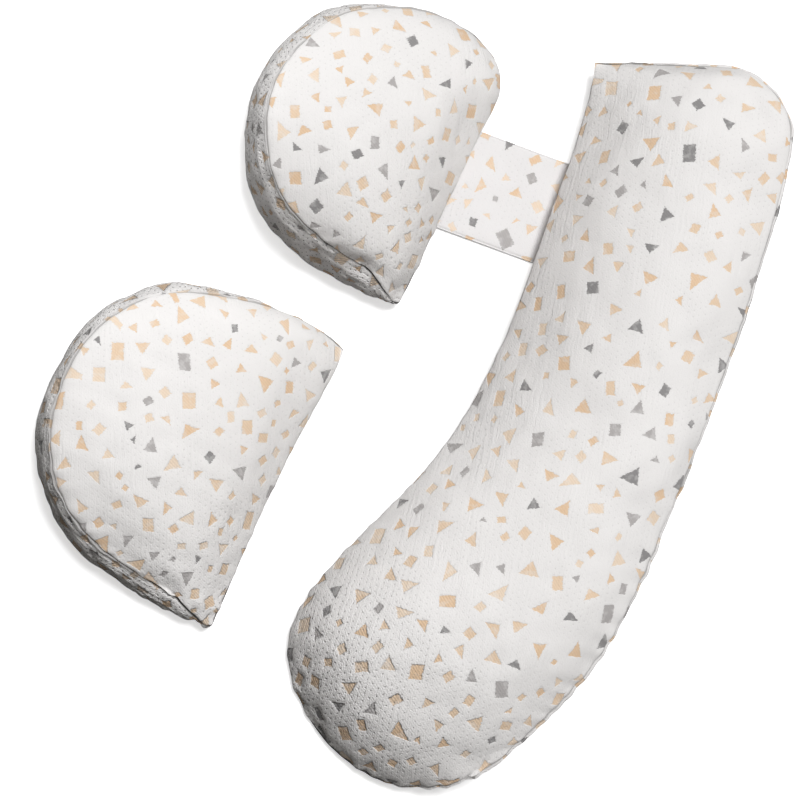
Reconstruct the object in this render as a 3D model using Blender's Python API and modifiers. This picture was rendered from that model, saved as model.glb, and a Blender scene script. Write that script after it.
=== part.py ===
"""Pregnancy pillow: a long curved back cushion, a belly wedge joined to it by a
padded band, and a loose wedge of the same set, all lying on their backs.

Metres, +Z up. The tables are in millimetres on the surface the set lies on.
The origin is at the bottom centre of the whole set.
"""

from collections import namedtuple

import bmesh
import bpy
import numpy as np

MM = 0.001
NAME = "pregnancy_pillow"

# One row is a cut across a cushion, from its thin edge to its thick edge.
# The two places are on the widest outline, seen from above.
# thin and thick are the heights of the face there, and crown is how far the
# filling lifts the middle of the face above the line between them.
Cut = namedtuple("Cut", "thin_x thin_y thick_x thick_y thin thick crown")

# How a cushion is sewn. lip_in and gusset_in are how far the face seam lies
# inside the widest outline at the thin edge and at the thick edge. tuck_in
# and foot_in are the same for the rim of the flat underside. first_bow and
# last_bow are how far the first and the last cut swell outwards. seam_crease
# is how sharp the face seam stands, and first_corner and last_corner how sharp
# the two ends of the thin edge are, from 0 to 1.
Make = namedtuple(
    "Make", "lip_in gusset_in tuck_in foot_in first_bow last_bow seam_crease first_corner last_corner"
)

LONG_CUTS = (
    Cut(202, 357, 360, 350, 34, 84, 4),
    Cut(194, 318, 407, 300, 34, 108, 26),
    Cut(178, 262, 405, 240, 34, 110, 40),
    Cut(150, 190, 382, 158, 34, 110, 44),
    Cut(119, 100, 351, 68, 34, 110, 44),
    Cut(77, 6, 312, -30, 34, 110, 44),
    Cut(17, -77, 267, -134, 36, 108, 42),
    Cut(-66, -151, 216, -240, 40, 98, 40),
    Cut(-124, -236, 165, -324, 44, 84, 36),
    Cut(-104, -321, 84, -383, 40, 60, 8),
)
LONG_MAKE = Make(7, 11, 24, 16, 2, 28, 0.6, 0.9, 0.0)

JOINED_CUTS = (
    Cut(109, 356, -89, 406, 40, 70, 4),
    Cut(116, 321, -156, 337, 34, 96, 24),
    Cut(87, 266, -170, 264, 30, 102, 34),
    Cut(57, 204, -156, 186, 30, 96, 34),
    Cut(27, 140, -98, 130, 28, 78, 22),
    Cut(5, 97, -46, 108, 26, 50, 7),
)
JOINED_MAKE = Make(7, 28, 24, 20, 29, 5, 0.7, 0.0, 0.4)

LOOSE_CUTS = (
    Cut(-45, 58, -250, 125, 32, 66, 4),
    Cut(-59, 28, -333, 80, 30, 84, 24),
    Cut(-90, -28, -370, -16, 28, 88, 32),
    Cut(-124, -94, -367, -94, 28, 86, 32),
    Cut(-152, -156, -322, -163, 26, 68, 22),
    Cut(-184, -230, -240, -214, 24, 46, 6),
)
LOOSE_MAKE = Make(6, 20, 22, 18, 26, 3, 0.7, 0.6, 0.6)

# The joining band, a flat padded strip square to both thin edges.
BAND_MIDDLE = (115.9, 215.3)
BAND_LONG = 126
BAND_WIDE = 112
BAND_THICK = 4
BAND_TURN = -0.335
BAND_ROUND = 1.2
BAND_ROUND_STEPS = 2

# Where the bottom centre of the whole set lies on the tables' plan.
SET_CENTRE = (20, 11)

# Off-white knit: linear colour of the cushions and of the thinner band.
CUSHION_KNIT = (0.84, 0.82, 0.79)
BAND_KNIT = (0.82, 0.80, 0.77)
KNIT_ROUGHNESS = 0.9

# Where the cage's columns stand between the thin edge, 0, and the thick, 1.
COLUMNS = np.array([0.0, 0.22, 0.5, 0.78, 1.0])
SMOOTH_LEVELS = 2


def clear_scene():
    for thing in list(bpy.data.objects):
        bpy.data.objects.remove(thing, do_unlink=True)


def new_collection():
    """The collection that holds the set."""
    holder = bpy.data.collections.new(NAME)
    bpy.context.scene.collection.children.link(holder)
    return holder


def knit_material(name, colour):
    """A plain matt knit in its ground colour."""
    material = bpy.data.materials.new(name)
    material.use_nodes = True
    shader = material.node_tree.nodes["Principled BSDF"]
    shader.inputs["Base Color"].default_value = (*colour, 1.0)
    shader.inputs["Roughness"].default_value = KNIT_ROUGHNESS
    shader.inputs["Metallic"].default_value = 0.0
    return material


def hump(across):
    """Nought at both ends and one in the middle, as a parabola."""
    return 4.0 * across * (1.0 - across)


def rim_cells(rows, columns):
    """The grid's outermost cells in order, once round."""
    last_row = rows - 1
    last_column = columns - 1
    first = [(0, c) for c in range(last_column)]
    thick = [(r, last_column) for r in range(last_row)]
    last = [(last_row, c) for c in range(last_column, 0, -1)]
    thin = [(r, 0) for r in range(last_row, 0, -1)]
    return first + thick + last + thin


def widest_plan(cuts, make):
    """Plan grid of the widest outline: straight cuts from the thin edge to the
    thick edge, whose first and last swell outwards as a parabola."""
    thin = np.array([(c.thin_x, c.thin_y) for c in cuts], float)
    thick = np.array([(c.thick_x, c.thick_y) for c in cuts], float)
    plan = thin[:, None] + (thick - thin)[:, None] * COLUMNS[None, :, None]
    for row, inner, bow in ((0, 1, make.first_bow), (-1, -2, make.last_bow)):
        outward = plan[row].mean(axis=0) - plan[inner].mean(axis=0)
        outward /= np.linalg.norm(outward)
        plan[row] += outward * bow * hump(COLUMNS)[:, None]
    return plan


def drawn_in(plan, cells, thin_side, thick_side):
    """The plan grid with its rim moved inwards, by one distance along the thin
    edge and another along the thick edge, blended round the two ends."""
    loop = np.array([plan[cell] for cell in cells])
    along = np.roll(loop, -1, axis=0) - np.roll(loop, 1, axis=0)
    along /= np.linalg.norm(along, axis=1)[:, None]
    inward = np.stack([-along[:, 1], along[:, 0]], axis=1)
    if runs_clockwise(loop):
        inward = -inward
    moved = plan.copy()
    for cell, place, turn in zip(cells, loop, inward):
        amount = thin_side + (thick_side - thin_side) * COLUMNS[cell[1]]
        moved[cell] = place + turn * amount
    inner = moved[1:-1, :1] + (moved[1:-1, -1:] - moved[1:-1, :1]) * COLUMNS[None, :, None]
    moved[1:-1, 1:-1] = inner[:, 1:-1]
    return moved


def runs_clockwise(loop):
    """Whether a closed plan loop runs clockwise, from its signed area."""
    following = np.roll(loop, -1, axis=0)
    twice_area = loop[:, 0] * following[:, 1] - following[:, 0] * loop[:, 1]
    return twice_area.sum() < 0.0


def face_heights(cuts):
    """Height of the face over the grid: the line from the thin height to the
    thick height, lifted by the crown's parabola."""
    thin = np.array([c.thin for c in cuts], float)[:, None]
    thick = np.array([c.thick for c in cuts], float)[:, None]
    crown = np.array([c.crown for c in cuts], float)[:, None]
    across = COLUMNS[None, :]
    return thin + (thick - thin) * across + crown * hump(across)


def cushion(name, cuts, make, material, holder):
    """One filled cushion: a cage of face grid, gusset ring and flat underside,
    rounded by Subdivision Surface, with its face seam creased."""
    cells = rim_cells(len(cuts), len(COLUMNS))
    widest = widest_plan(cuts, make)
    heights = face_heights(cuts)
    face_plan = drawn_in(widest, cells, make.lip_in, make.gusset_in)
    under_plan = drawn_in(widest, cells, make.tuck_in, make.foot_in)

    shape = bmesh.new()
    corner = shape.verts.layers.float.new("crease_vert")
    crease = shape.edges.layers.float.new("crease_edge")
    shift = np.array(SET_CENTRE, float)

    def corner_at(place, height):
        return shape.verts.new((*((place - shift) * MM), height * MM))

    def grid_of(plan, height):
        columns = range(len(COLUMNS))
        return [[corner_at(plan[r, c], height[r, c]) for c in columns] for r in range(len(cuts))]

    face = grid_of(face_plan, heights)
    under = grid_of(under_plan, np.zeros_like(heights))
    gusset = [corner_at(widest[cell], heights[cell] / 2.0) for cell in cells]

    for r in range(len(cuts) - 1):
        for c in range(len(COLUMNS) - 1):
            for grid in (face, under):
                shape.faces.new((grid[r][c], grid[r][c + 1], grid[r + 1][c + 1], grid[r + 1][c]))
    for row, sharpness in ((0, make.first_corner), (-1, make.last_corner)):
        face[row][0][corner] = sharpness
    for here, cell in enumerate(cells):
        there = (here + 1) % len(cells)
        nearby = cells[there]
        top = (face[cell[0]][cell[1]], face[nearby[0]][nearby[1]])
        foot = (under[cell[0]][cell[1]], under[nearby[0]][nearby[1]])
        shape.faces.new((top[0], gusset[here], gusset[there], top[1]))
        shape.faces.new((gusset[here], foot[0], foot[1], gusset[there]))
        along_thin_edge = cell[1] == nearby[1] == 0
        if not along_thin_edge:
            shape.edges.get(top)[crease] = make.seam_crease
    bmesh.ops.recalc_face_normals(shape, faces=shape.faces)

    mesh = bpy.data.meshes.new(name)
    shape.to_mesh(mesh)
    shape.free()
    mesh.shade_smooth()
    mesh.materials.append(material)
    piece = bpy.data.objects.new(name, mesh)
    holder.objects.link(piece)
    rounding = piece.modifiers.new("filled", "SUBSURF")
    rounding.levels = SMOOTH_LEVELS
    rounding.render_levels = SMOOTH_LEVELS
    return piece


def joining_band(material, holder):
    """The flat padded strip: a box with rounded edges, lying on the surface."""
    shape = bmesh.new()
    bmesh.ops.create_cube(shape, size=1.0)
    bmesh.ops.scale(shape, vec=(BAND_LONG * MM, BAND_WIDE * MM, BAND_THICK * MM), verts=shape.verts)
    mesh = bpy.data.meshes.new("joining_band")
    shape.to_mesh(mesh)
    shape.free()
    mesh.materials.append(material)
    piece = bpy.data.objects.new("joining_band", mesh)
    holder.objects.link(piece)
    middle_x = (BAND_MIDDLE[0] - SET_CENTRE[0]) * MM
    middle_y = (BAND_MIDDLE[1] - SET_CENTRE[1]) * MM
    piece.location = (middle_x, middle_y, BAND_THICK * MM / 2.0)
    piece.rotation_euler = (0.0, 0.0, BAND_TURN)
    rounding = piece.modifiers.new("soft edge", "BEVEL")
    rounding.width = BAND_ROUND * MM
    rounding.segments = BAND_ROUND_STEPS
    return piece


def build():
    clear_scene()
    holder = new_collection()
    pieces = (
        ("long_cushion", LONG_CUTS, LONG_MAKE),
        ("joined_wedge", JOINED_CUTS, JOINED_MAKE),
        ("loose_wedge", LOOSE_CUTS, LOOSE_MAKE),
    )
    for name, cuts, make in pieces:
        cushion(name, cuts, make, knit_material(name + " knit", CUSHION_KNIT), holder)
    joining_band(knit_material("band knit", BAND_KNIT), holder)


build()
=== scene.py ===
"""Looks of the pregnancy pillow set: two half-round wedges and a long curved
cushion in a confetti-patterned air-layer knit, and the flat band that joins one
wedge to the long cushion.

Each cushion is three sewn panels, worked out as grids: a face, a back and a
crescent gusset between them. The tables are in millimetres on the surface the
set lies on. They are the part's own, but for a few cuts and heights that lie
some millimetres off it, as the soft covers do.
"""

from collections import namedtuple

import bpy
import numpy as np
from mathutils import Matrix, Vector


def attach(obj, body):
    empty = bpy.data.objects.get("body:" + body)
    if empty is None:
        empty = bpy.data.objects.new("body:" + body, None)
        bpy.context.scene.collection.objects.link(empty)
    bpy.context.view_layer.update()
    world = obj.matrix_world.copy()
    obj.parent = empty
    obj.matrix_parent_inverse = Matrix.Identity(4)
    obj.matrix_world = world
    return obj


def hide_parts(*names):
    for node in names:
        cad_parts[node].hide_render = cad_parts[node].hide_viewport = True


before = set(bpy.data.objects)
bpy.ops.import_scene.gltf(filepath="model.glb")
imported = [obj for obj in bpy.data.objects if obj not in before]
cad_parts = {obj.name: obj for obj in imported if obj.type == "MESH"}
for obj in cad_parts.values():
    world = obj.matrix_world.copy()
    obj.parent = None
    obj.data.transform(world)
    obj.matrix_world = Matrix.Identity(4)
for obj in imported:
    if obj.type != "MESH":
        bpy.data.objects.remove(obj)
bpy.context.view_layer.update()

MM = 0.001

# One row is a cut across a cushion, from its thin edge to its thick edge. The
# two places are on the widest outline, seen from above. thin and thick are the
# heights of the face there, and crown is how far the filling lifts the middle.
Cut = namedtuple("Cut", "thin_x thin_y thick_x thick_y thin thick crown")

# How a cushion is sewn and filled. lip_in and gusset_in are how far the face
# seam lies inside the widest outline at the thin and the thick edge, and
# tuck_in and foot_in are the same for the rim of the underside. first_bow and
# last_bow are how far the first and the last cut swell outwards, and
# first_corner and last_corner how crisp the thin edge's two ends are. roll is
# how far the lip of the face seam stands out. thin_in and thick_in are how far
# in the widest place really lies, as a share of the way to the seams. puff is
# how much higher than half the face's height the thin seam lies. sag is how far
# it comes down towards the last cut, and slack how far round that end the cover
# lies slack. late is how late the gusset opens along the last cut, as a power.
# full is how much fuller the face is beside the thin edge, as a share of its
# crown, and last_full the same at the last cut. roll_off is how far the face
# rolls down to its seam at the thick edge, and loose is how slack the face is
# there, as a share of its seam's slackness.
Make = namedtuple(
    "Make",
    "lip_in gusset_in tuck_in foot_in first_bow last_bow first_corner last_corner roll thin_in "
    "thick_in puff sag slack late full last_full roll_off loose",
)

# How finely a cushion's panels are sampled across, along and down the gusset.
Grid = namedtuple("Grid", "across along down")

LONG_CUTS = (
    Cut(202, 357, 360, 350, 34, 84, 4),
    Cut(194, 318, 406, 300, 34, 108, 26),
    Cut(178, 262, 401, 241, 34, 110, 40),
    Cut(150, 190, 378, 159, 34, 110, 44),
    Cut(119, 100, 348, 69, 34, 110, 44),
    Cut(77, 6, 312, -30, 34, 110, 44),
    Cut(17, -77, 267, -134, 36, 108, 42),
    Cut(-66, -151, 223, -243, 40, 98, 40),
    Cut(-127, -236, 156, -321, 38, 84, 42),
    Cut(-96, -314, 84, -386, 28, 60, 12),
)
LONG_MAKE = Make(7, 11, 24, 16, 3, 38, 0.9, 0.0, 2.2, 0.25, 0.75, 0.35, 0.76, 150, 11, 0.32, 0.65, 10, 1.0)
LONG_GRID = Grid(121, 301, 41)

JOINED_CUTS = (
    Cut(109, 356, -90, 409, 40, 70, 4),
    Cut(116, 321, -156, 337, 38, 96, 24),
    Cut(87, 266, -170, 264, 36, 102, 34),
    Cut(57, 204, -156, 186, 36, 96, 34),
    Cut(27, 140, -98, 130, 34, 82, 23),
    Cut(5, 97, -46, 108, 26, 56, 8),
)
JOINED_MAKE = Make(7, 28, 24, 20, 37, 5, 0.0, 0.4, 0.9, 0.20, 0.42, 0.0, 0.0, 130, 1, 0.12, 0.12, 5, 0.4)
WEDGE_GRID = Grid(129, 161, 41)

LOOSE_CUTS = (
    Cut(-49, 54, -250, 125, 32, 66, 4),
    Cut(-59, 28, -330, 77, 34, 84, 24),
    Cut(-90, -28, -370, -16, 34, 88, 32),
    Cut(-124, -94, -367, -94, 34, 86, 32),
    Cut(-152, -156, -322, -163, 31, 68, 22),
    Cut(-184, -230, -237, -211, 24, 46, 6),
)
LOOSE_MAKE = Make(6, 20, 22, 18, 26, 3, 0.6, 0.6, 0.9, 0.12, 0.22, 0.0, 0.0, 150, 1, 0.12, 0.12, 5, 0.4)

# The band, its sewn edges' notch and row of stitches, and its knit's upright.
BAND_MIDDLE = (115.9, 215.3)
BAND_LONG = 126
BAND_WIDE = 112
BAND_THICK = 4
BAND_TURN = -0.335
BAND_NOTCH = 0.7
BAND_HEM = 2.6
BAND_HEM_DEPTH = 0.5
NOTCH_REACH = 0.45
HEM_REACH = 0.8
# How far the painted seam shade at the band's row of stitches is held off, in millimetres, which makes
# that dark line fainter.
HEM_SHADE_OFFSET = 0.75

# How far grid lines draw to the band's edges and ends, and how square both are,
# as powers and as a share.
EDGE_DRAW, END_DRAW = 2.2, 0.85
EDGE_SQUARE, END_SQUARE = 26, 60
BAND_WAVE = 0.22 * MM
BAND_WAVE_LENGTH = 38 * MM
BAND_SEED = 71
BAND_GRID = Grid(97, 81, 0)
BAND_PRINT_UP = np.array([-0.4, 0.92, 0.0])
BAND_SCALE = 0.95

# Where the set's bottom centre lies on the tables' plan, and where a cut's five
# places stand between its thin edge, 0, and its thick edge, 1.
SET_CENTRE = np.array([20.0, 11.0])
COLUMNS = np.array([0.0, 0.22, 0.5, 0.78, 1.0])

# Every fourth grid line is a line of the coarse cloth that is simulated.
COARSE = 4
FACE, GUSSET, BACK = 0, 1, 2


# Curves and grids

def hump(across):
    """Nought at both ends and one in the middle, as a parabola."""
    return 4.0 * across * (1.0 - across)


def bell(x):
    """One at nought, and less on both sides: e to the power of minus x squared."""
    return np.exp(-(x**2))


def spline_weights(count, places, closed=False):
    """Weights of a uniform cubic B-spline's control points at the given places.
    An open one has each end point mirrored in its neighbour's place, so that it
    starts and ends on its first and last point."""
    places = np.asarray(places, float)
    first = np.floor(places).astype(int)
    if not closed:
        first = np.clip(first, 0, count - 2)
    t = places - first
    parts = (
        (1.0 - t) ** 3 / 6.0,
        (3.0 * t**3 - 6.0 * t**2 + 4.0) / 6.0,
        (-3.0 * t**3 + 3.0 * t**2 + 3.0 * t + 1.0) / 6.0,
        t**3 / 6.0,
    )
    rows = np.arange(len(places))
    if closed:
        weights = np.zeros((len(places), count))
        for step, part in enumerate(parts):
            weights[rows, (first + step - 1) % count] += part
        return weights
    wide = np.zeros((len(places), count + 2))
    for step, part in enumerate(parts):
        wide[rows, first + step] += part
    weights = wide[:, 1:-1].copy()
    weights[:, 0] += 2.0 * wide[:, 0]
    weights[:, 1] -= wide[:, 0]
    weights[:, -1] += 2.0 * wide[:, -1]
    weights[:, -2] -= wide[:, -1]
    return weights


def refined_weights(coarse_count):
    """Weights that put COARSE - 1 new points between old ones on a Catmull-Rom
    curve, which keeps the old points where they are."""
    places = np.arange((coarse_count - 1) * COARSE + 1) / COARSE
    first = np.clip(np.floor(places).astype(int), 0, coarse_count - 2)
    t = places - first
    parts = (
        (-t + 2.0 * t**2 - t**3) / 2.0,
        (2.0 - 5.0 * t**2 + 3.0 * t**3) / 2.0,
        (t + 4.0 * t**2 - 3.0 * t**3) / 2.0,
        (t**3 - t**2) / 2.0,
    )
    weights = np.zeros((len(places), coarse_count))
    rows = np.arange(len(places))
    for step, part in enumerate(parts):
        np.add.at(weights, (rows, np.clip(first + step - 1, 0, coarse_count - 1)), part)
    return weights


def refined(grid):
    """A coarse grid of values brought to the fine grid, along both its axes."""
    down, across = refined_weights(grid.shape[0]), refined_weights(grid.shape[1])
    return np.einsum("ar,rcx,bc->abx", down, grid, across)


def eased(count, cells, ease):
    """Places from 0 to cells, closer together near both ends: a straight line
    less a sine of one period."""
    x = np.linspace(0.0, 1.0, count)
    return cells * (x - ease * np.sin(2.0 * np.pi * x) / (2.0 * np.pi))


def wander(points, wavelength, seed, waves=16):
    """Smooth random value with a spread of about one: plane waves of about one
    length, in random directions and phases, added up."""
    rng = np.random.default_rng(seed)
    ways = rng.normal(size=(waves, 3))
    ways /= np.linalg.norm(ways, axis=1)[:, None]
    ways *= 2.0 * np.pi / (wavelength * rng.uniform(0.7, 1.4, waves))[:, None]
    phases = rng.uniform(0.0, 2.0 * np.pi, waves)
    total = sum(np.sin(points @ way + phase) for way, phase in zip(ways, phases))
    return total * np.sqrt(2.0 / waves)


# Panels of a cushion

# Makes the hump beside the thin edge one high, a fifth of the way across.
FULL_PEAK = 12.2

# How far from a crisp corner, and from the rim, the net gives way, in cells.
CRISP_REACH = 0.7
RIM_REACH = 0.9
SAG_REACH = 2.0

# How close the grid lines draw together at the rims and at the gusset's seams.
RIM_EASE = 0.5
GUSSET_EASE = 0.8

# How much of a late gusset opens early, how full the gusset stands, and how
# high its lower seam lies, as a share of the way up to its widest place.
EARLY_SHARE = 0.06
GUSSET_BULGE = 3.0
BACK_SEAM_LIFT = 0.17
SEAM_DROP_REACH = 11 * MM
UNDERSIDE_REACH = 52 * MM
UNDERSIDE_FADE = 2.4


def widest_plan(cuts, make):
    """Plan net of the widest outline: straight cuts from the thin edge to the
    thick edge, whose first and last swell outwards as a parabola."""
    thin = np.array([(c.thin_x, c.thin_y) for c in cuts], float)
    thick = np.array([(c.thick_x, c.thick_y) for c in cuts], float)
    plan = thin[:, None] + (thick - thin)[:, None] * COLUMNS[None, :, None]
    for row, inner, bow in ((0, 1, make.first_bow), (-1, -2, make.last_bow)):
        outward = plan[row].mean(axis=0) - plan[inner].mean(axis=0)
        outward /= np.linalg.norm(outward)
        plan[row] += outward * bow * hump(COLUMNS)[:, None]
    return plan


def rim_of(net):
    """A net's outermost points in order, once round: first cut, thick edge,
    last cut backwards, thin edge backwards."""
    return np.concatenate([net[0, :-1], net[:-1, -1], net[-1, :0:-1], net[:0:-1, 0]])


def runs_clockwise(plan):
    """Whether a net's rim runs clockwise, from its signed area."""
    loop = rim_of(plan)
    following = np.roll(loop, -1, axis=0)
    return (loop[:, 0] * following[:, 1] - following[:, 0] * loop[:, 1]).sum() < 0.0


def drawn_in(plan, thin_side, thick_side):
    """The plan net with its rim moved inwards, by one distance along the thin
    edge and another along the thick edge, blended round the two ends."""
    loop = rim_of(plan)
    along = np.roll(loop, -1, axis=0) - np.roll(loop, 1, axis=0)
    along /= np.linalg.norm(along, axis=1)[:, None]
    inward = np.stack([-along[:, 1], along[:, 0]], axis=1)
    if runs_clockwise(plan):
        inward = -inward
    across = np.tile(COLUMNS, (len(plan), 1))[..., None]
    loop = loop + inward * (thin_side + (thick_side - thin_side) * rim_of(across))
    rows, columns = plan.shape[:2]
    ends = np.cumsum([columns - 1, rows - 1, columns - 1])
    moved = plan.copy()
    moved[0, :-1] = loop[: ends[0]]
    moved[:-1, -1] = loop[ends[0] : ends[1]]
    moved[-1, :0:-1] = loop[ends[1] : ends[2]]
    moved[:0:-1, 0] = loop[ends[2] :]
    inner = moved[1:-1, :1] + (moved[1:-1, -1:] - moved[1:-1, :1]) * COLUMNS[None, :, None]
    moved[1:-1, 1:-1] = inner[:, 1:-1]
    return moved


def face_heights(cuts, make):
    """Height of the face over the net: the line from the thin height to the
    thick height, lifted by the crown's parabola and by a hump beside the thin
    edge, whose share of the crown turns from full to last_full."""
    thin, thick, crown = np.array([c[4:] for c in cuts], float).T[..., None]
    later = np.linspace(0.0, 1.0, len(cuts))[:, None] ** 4
    full = make.full + (make.last_full - make.full) * later
    beside_thin = FULL_PEAK * full * COLUMNS * (1.0 - COLUMNS) ** 4
    return thin + (thick - thin) * COLUMNS + crown * (hump(COLUMNS) + beside_thin)


def solid_net(plan, heights):
    """Plan net and heights as one net of places, in metres from the origin."""
    return np.concatenate([plan - SET_CENTRE, heights[..., None]], axis=2) * MM


def eased_into(sides, reach):
    """A patch over the whole grid that equals each side's values on that side
    and fades from it: each side's values times its fade, less the corners that
    two sides would count twice. sides and reach are for the first cut, the last
    cut, the thin edge and the thick edge."""
    first, last, thin, thick = sides
    near_first, near_last, near_thin, near_thick = (r[..., None] for r in reach)
    patch = near_first * first[None] + near_last * last[None]
    patch = patch + near_thin * thin[:, None] + near_thick * thick[:, None]
    patch -= near_first * near_thin * first[0] + near_first * near_thick * first[-1]
    patch -= near_last * near_thin * last[0] + near_last * near_thick * last[-1]
    return patch


def edges_of(grid):
    """A grid's values on its first cut, last cut, thin edge and thick edge."""
    return grid[0], grid[-1], grid[:, 0], grid[:, -1]


def brought_to(sides, grid, reach):
    """The grid with its edges brought to the sides, a move that fades inwards."""
    return grid + eased_into([s - e for s, e in zip(sides, edges_of(grid))], reach)


def edge_distances(grid):
    """How far each point of a grid is from its four sides, along grid lines."""
    along = np.linalg.norm(np.diff(grid, axis=0), axis=2)
    across = np.linalg.norm(np.diff(grid, axis=1), axis=2)
    from_first = np.concatenate([np.zeros((1, grid.shape[1])), np.cumsum(along, axis=0)])
    from_thin = np.concatenate([np.zeros((grid.shape[0], 1)), np.cumsum(across, axis=1)], axis=1)
    return from_first, from_first[-1:] - from_first, from_thin, from_thin[:, -1:] - from_thin


def rounded_sides(net, places_along, places_across, make):
    """The net's rim as one smooth closed curve, cut into the grid's four sides.
    Near a crisp corner it keeps the sides' own ends, which meet at an angle."""
    rows, columns = net.shape[:2]
    loop = rim_of(net)
    full = len(loop)
    turns = (
        places_across,
        full / 2 + columns - 1 - places_across,
        full - places_along,
        columns - 1 + places_along,
    )
    smooth = [spline_weights(full, turn, closed=True) @ loop for turn in turns]
    down, across = spline_weights(rows, places_along), spline_weights(columns, places_across)
    sharp = (across @ net[0], across @ net[-1], down @ net[:, 0], down @ net[:, -1])
    near_first = make.first_corner * bell(places_along / CRISP_REACH)
    near_last = make.last_corner * bell((rows - 1 - places_along) / CRISP_REACH)
    crisp = (
        make.first_corner * bell(places_across / CRISP_REACH),
        make.last_corner * bell(places_across / CRISP_REACH),
        near_first + near_last,
        np.zeros_like(places_along),
    )
    return [a + (b - a) * w[:, None] for a, b, w in zip(smooth, sharp, crisp)]


def panels(cuts, make, grid):
    """Face, gusset and back of a cushion as grids of places.

    Face and back are bicubic B-splines of the cuts, fitted to smooth closed
    rims. The gusset is open along the thick edge and closes as a sine round the
    two ends, and along the thin edge face and back share one seam. Down the
    gusset each line bulges, as a cubic on either side, from the straight line
    between its seams out to the widest place. Towards a sagging end the thin
    seam comes down and the face rolls over to it in a wider curve."""
    widest = widest_plan(cuts, make)
    heights = face_heights(cuts, make)
    nets = (
        solid_net(drawn_in(widest, make.lip_in, make.gusset_in), heights),
        solid_net(widest, heights / 2.0),
        solid_net(drawn_in(widest, make.tuck_in, make.foot_in), 0.0 * heights),
    )
    rows, columns = heights.shape
    along = eased(grid.along, rows - 1, RIM_EASE)
    across = eased(grid.across, columns - 1, RIM_EASE)
    down_weights, across_weights = spline_weights(rows, along), spline_weights(columns, across)
    face, back = (np.einsum("ar,rcx,bc->abx", down_weights, nets[i], across_weights) for i in (0, 2))
    face_rim, widest_rim, back_rim = (rounded_sides(net, along, across, make) for net in nets)
    share = across / (columns - 1)
    opening = np.sin(0.5 * np.pi * share)[:, None]
    late = EARLY_SHARE * opening + (1.0 - EARLY_SHARE) * opening**make.late
    shut = np.zeros((grid.along, 1))
    open_share = (opening, late, shut, shut + 1.0)
    middle = [
        w + ((f + b) / 2.0 - w) * (make.thin_in + (make.thick_in - make.thin_in) * o)
        for f, w, b, o in zip(face_rim, widest_rim, back_rim, open_share)
    ]
    last_share = bell((rows - 1 - along) / SAG_REACH)
    from_thick = 1.0 - share**2
    middle[0][:, 2] *= 1.0 + make.puff * from_thick
    middle[1][:, 2] *= (1.0 + make.puff * from_thick) * (1.0 - make.sag * from_thick)
    middle[2][:, 2] *= (1.0 + make.puff) * (1.0 - make.sag * last_share)
    drop = (0.0, 0.0, make.roll_off * MM)
    face_seam = [m + (f - drop - m) * o for m, f, o in zip(middle, face_rim, open_share)]
    back_edge = [b + (m - b) * np.array([0.5, 0.5, BACK_SEAM_LIFT]) for b, m in zip(back_rim, middle)]
    back_seam = [m + (b - m) * o for m, b, o in zip(middle, back_edge, open_share)]

    cells = (along[:, None], (rows - 1 - along)[:, None], across[None], (columns - 1 - across)[None])
    fade = [np.broadcast_to(bell(c / RIM_REACH), (grid.along, grid.across)) for c in cells]
    face = brought_to(face_rim, face, fade)
    reach = SEAM_DROP_REACH * (1.0 + 1.5 * make.sag * last_share[:, None] + 0.9 * share**2)
    face = brought_to(face_seam, face, [np.exp(-d / reach) for d in edge_distances(face)])
    fade = [np.clip(1.0 - d / UNDERSIDE_REACH, 0.0, 1.0) ** UNDERSIDE_FADE for d in edge_distances(back)]
    back = brought_to(back_seam, back, fade)

    t = eased(grid.down, 1.0, GUSSET_EASE)[None, :, None]
    bulge = 1.0 - np.abs(1.0 - 2.0 * t) ** GUSSET_BULGE
    seams = (face_seam, middle, back_seam)
    top, mid, foot = (np.concatenate([s[0][:-1], s[3][:-1], s[1][::-1]])[:, None] for s in seams)
    gusset = top * (1.0 - t) + foot * t + (mid - (top + foot) / 2.0) * bulge
    return face, gusset, back


# One closed mesh of three panels

Shell = namedtuple("Shell", "face gusset back quads corners panel")


def around(numbering):
    """The four-sided faces of a grid of points, each point's number in order."""
    n = numbering
    return np.stack([n[:-1, :-1], n[:-1, 1:], n[1:, 1:], n[1:, :-1]], axis=-1).reshape(-1, 4)


def shell_of(face_shape, gusset_shape, clockwise):
    """Numbering of a closed shell's points, and its faces. Face and back share
    the thin edge, and the gusset shares its first row with the face's rim and
    its last row with the back's. quads has four points a face and corners has
    the three of each face where the gusset narrows to nothing."""
    rows, columns = face_shape
    path, down = gusset_shape
    face = np.arange(rows * columns).reshape(rows, columns)
    total = face.size
    back = np.empty_like(face)
    back[:, 0] = face[:, 0]
    back[:, 1:] = total + np.arange(rows * (columns - 1)).reshape(rows, columns - 1)
    total += rows * (columns - 1)
    gusset = np.empty((path, down), int)
    for numbering, column in ((face, 0), (back, -1)):
        gusset[:, column] = np.concatenate([numbering[0, :-1], numbering[:-1, -1], numbering[-1, ::-1]])
    inner = np.arange((path - 2) * (down - 2)).reshape(path - 2, down - 2)
    gusset[1:-1, 1:-1] = total + inner
    gusset[0] = face[0, 0]
    gusset[-1] = face[-1, 0]

    top, side, under = around(face)[:, ::-1], around(gusset)[:, ::-1], around(back)
    if not clockwise:
        top, side, under = top[:, ::-1], side[:, ::-1], under[:, ::-1]
    quads = np.concatenate([top, side, under])
    panel = np.repeat([FACE, GUSSET, BACK], [len(top), len(side), len(under)])
    narrow = (np.sort(quads, axis=1)[:, 1:] == np.sort(quads, axis=1)[:, :-1]).any(axis=1)
    corners = []
    for quad in quads[narrow]:
        kept = [int(p) for k, p in enumerate(quad) if p != quad[k - 1]]
        if len(kept) == 3:
            corners.append(kept)
    return Shell(face, gusset, back, quads[~narrow], corners, panel[~narrow])


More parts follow.
